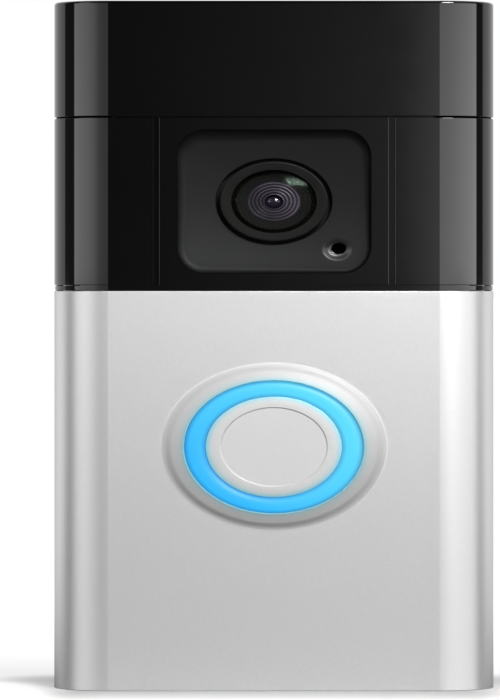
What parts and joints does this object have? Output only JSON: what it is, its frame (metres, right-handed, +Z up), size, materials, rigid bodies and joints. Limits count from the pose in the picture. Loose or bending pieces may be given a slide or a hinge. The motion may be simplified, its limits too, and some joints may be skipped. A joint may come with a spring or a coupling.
{
  "type": "video doorbell",
  "caption": "Wall-mounted battery video doorbell: gloss black camera head above a satin silver faceplate, with a push button inside an oval light and a slide-out battery.",
  "frame": {"origin": "on the surface the doorbell stands on, under the middle of its width and depth", "axes": "+X to the right as seen from the front, +Y towards the wall, +Z up"},
  "size_m": [0.0832, 0.028, 0.1295],
  "materials": {
    "gloss_black": "high gloss black",
    "satin_black": "satin black",
    "bezel_black": "dark satin",
    "baffle_black": "dull black",
    "cover_glass": "clear, coated",
    "lens_glass": "dark coated glass",
    "silver": "satin silver, fine grain",
    "button_silver": "satin silver",
    "light_guide": "milky light guide, lit blue",
    "housing_black": "fine matt texture",
    "inner_black": "moulded black",
    "inner_white": "moulded white",
    "setup_orange": "moulded orange",
    "seal_rubber": "silicone rubber",
    "board_green": "circuit board",
    "led_body": "pale resin",
    "night_led_body": "dark resin",
    "sensor_chip": "dark chip",
    "can_metal": "tinned sheet",
    "ribbon_film": "amber film",
    "contact_gold": "gold plated",
    "battery_black": "matt texture",
    "cell_wrap": "wrapped cell",
    "spring_steel": "spring steel",
    "tab_grey": "moulded grey",
    "magnet_steel": "plated magnet",
    "cone_film": "pressed film",
    "terminal_brass": "plain brass",
    "screw_steel": "plated screw"
  },
  "bodies": {
    "housing": {"top_cap": "gloss_black", "left_panel": "gloss_black", "right_panel": "gloss_black", "camera_panel": "gloss_black", "front_frame": "gloss_black", "lens_pan": "satin_black", "lens_bezel": "bezel_black", "lens_baffle": "baffle_black", "lens_window": "cover_glass", "front_lens": "lens_glass", "faceplate": "silver", "button_skirt": "silver", "halo": "light_guide", "base_housing": "housing_black", "camera_holder": "inner_black", "lens_barrel": "inner_black", "battery_sleeve": "inner_black", "contact_block": "inner_black", "speaker_frame": "inner_black", "button_switch": "inner_black", "setup_switch": "inner_black", "board_connector": "inner_black", "halo_carrier": "inner_white", "frame_seal": "seal_rubber", "button_seal": "seal_rubber", "mic_tube": "seal_rubber", "speaker_gasket": "seal_rubber", "speaker_surround": "seal_rubber", "main_board": "board_green", "led_board": "board_green", "front_board": "board_green", "camera_board": "board_green", "halo_leds": "led_body", "night_leds": "night_led_body", "image_sensor": "sensor_chip", "shield_cans": "can_metal", "motion_sensors": "can_metal", "microphone": "can_metal", "ribbon_cables": "ribbon_film", "contact_pins": "contact_gold", "speaker_magnet": "magnet_steel", "terminal_washers": "terminal_brass", "terminal_screws": "screw_steel", "case_screws": "screw_steel", "board_screws": "screw_steel", "security_screw": "screw_steel"},
    "button": {"button_cap": "button_silver", "button_plunger": "inner_white", "switch_plunger": "inner_white"},
    "setup_button": {"setup_button": "setup_orange"},
    "battery": {"battery_case": "battery_black", "battery_cells": "cell_wrap", "battery_pads": "contact_gold", "battery_end": "battery_black", "latch_spring": "spring_steel"},
    "release_tab": {"release_tab": "tab_grey"},
    "speaker_cone": {"speaker_cone": "cone_film"}
  },
  "joints": [
    {"name": "button_press", "type": "slide", "parent": "housing", "child": "button", "axis": [0, 1, 0], "range_m": [0, 0.0008], "stiffness_N_per_m": 4000, "deforming": ["button_seal"]},
    {"name": "setup_press", "type": "slide", "parent": "housing", "child": "setup_button", "axis": [0, 1, 0], "range_m": [0, 0.0005], "stiffness_N_per_m": 3000},
    {"name": "battery_slide", "type": "slide", "parent": "housing", "child": "battery", "axis": [0, 0, -1], "range_m": [0, 0.066], "deforming": ["latch_spring"]},
    {"name": "tab_press", "type": "slide", "parent": "battery", "child": "release_tab", "axis": [0, 1, 0], "range_m": [0, 0.0011], "stiffness_N_per_m": 2500},
    {"name": "cone_travel", "type": "slide", "parent": "housing", "child": "speaker_cone", "axis": [1, 0, 0], "range_m": [-0.0004, 0.0004], "stiffness_N_per_m": 2000, "deforming": ["speaker_surround"]}
  ]
}
